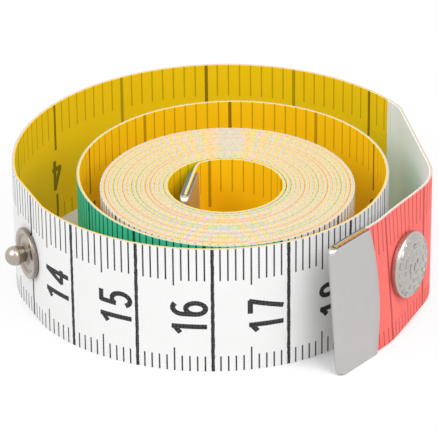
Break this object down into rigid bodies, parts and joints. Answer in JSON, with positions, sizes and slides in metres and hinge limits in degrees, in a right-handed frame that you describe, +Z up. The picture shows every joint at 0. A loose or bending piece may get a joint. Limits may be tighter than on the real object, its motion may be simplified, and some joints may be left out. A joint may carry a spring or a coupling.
{
  "type": "cloth tape measure",
  "caption": "Cloth tape measure rolled on its edge: tight coil, a loose outer turn that unrolls on upright hinges, folded metal tips and a snap fastener.",
  "frame": {"origin": "under the middle of the whole roll's box, on the surface that it stands on", "axes": "+Z up along the tape's width, -Y towards the front where the free end lies, +X to the right"},
  "size_m": [0.057, 0.0566, 0.018],
  "materials": {
    "tape_red": "coated woven glass cloth, printed coral red",
    "tape_white": "coated woven glass cloth, printed white",
    "tape_green": "coated woven glass cloth, printed green",
    "tape_wound": "cut edges of coated woven glass cloth",
    "nickel": "bright nickel plate",
    "tip_metal": "satin nickel-plated sheet"
  },
  "bodies": {
    "roll": {"tape_coil": "tape_wound", "tape_second_turn": "tape_green", "tape_outer_turn": "tape_white", "snap_stud": "nickel", "stud_eyelet": "nickel"},
    "link_06": {"tape_link_06": "tape_white"},
    "link_05": {"tape_link_05": "tape_red"},
    "link_04": {"tape_link_04": "tape_red"},
    "link_03": {"tape_link_03": "tape_red"},
    "link_02": {"tape_link_02": "tape_red"},
    "link_01": {"tape_link_01": "tape_red"},
    "end": {"tape_end": "tape_red", "outer_tip": "tip_metal", "snap_cap": "nickel", "snap_socket": "nickel", "socket_spring": "nickel"},
    "inner_end": {"tape_inner_end": "tape_wound", "inner_tip": "tip_metal"}
  },
  "joints": [
    {"name": "unroll_06", "type": "hinge", "parent": "roll", "child": "link_06", "pos_m": [-0.02597, 0.00895, 0], "axis": [0, 0, 1], "range_deg": [0, 29.9]},
    {"name": "unroll_05", "type": "hinge", "parent": "link_06", "child": "link_05", "pos_m": [-0.01813, 0.02094, 0], "axis": [0, 0, 1], "range_deg": [0, 29.4]},
    {"name": "unroll_04", "type": "hinge", "parent": "link_05", "child": "link_04", "pos_m": [-0.00541, 0.02753, 0], "axis": [0, 0, 1], "range_deg": [0, 29.3]},
    {"name": "unroll_03", "type": "hinge", "parent": "link_04", "child": "link_03", "pos_m": [0.00891, 0.02705, 0], "axis": [0, 0, 1], "range_deg": [0, 29.4]},
    {"name": "unroll_02", "type": "hinge", "parent": "link_03", "child": "link_02", "pos_m": [0.02114, 0.01961, 0], "axis": [0, 0, 1], "range_deg": [0, 35.8]},
    {"name": "unroll_01", "type": "hinge", "parent": "link_02", "child": "link_01", "pos_m": [0.02661, 0.00662, 0], "axis": [0, 0, 1], "range_deg": [0, 17]},
    {"name": "end_flap", "type": "hinge", "parent": "link_01", "child": "end", "pos_m": [0.02808, -0.00766, 0], "axis": [0, 0, 1], "range_deg": [-3, 60]},
    {"name": "inner_end_flap", "type": "hinge", "parent": "roll", "child": "inner_end", "pos_m": [-0.00261, -0.00227, 0], "axis": [0, 0, 1], "range_deg": [0, 40]}
  ]
}
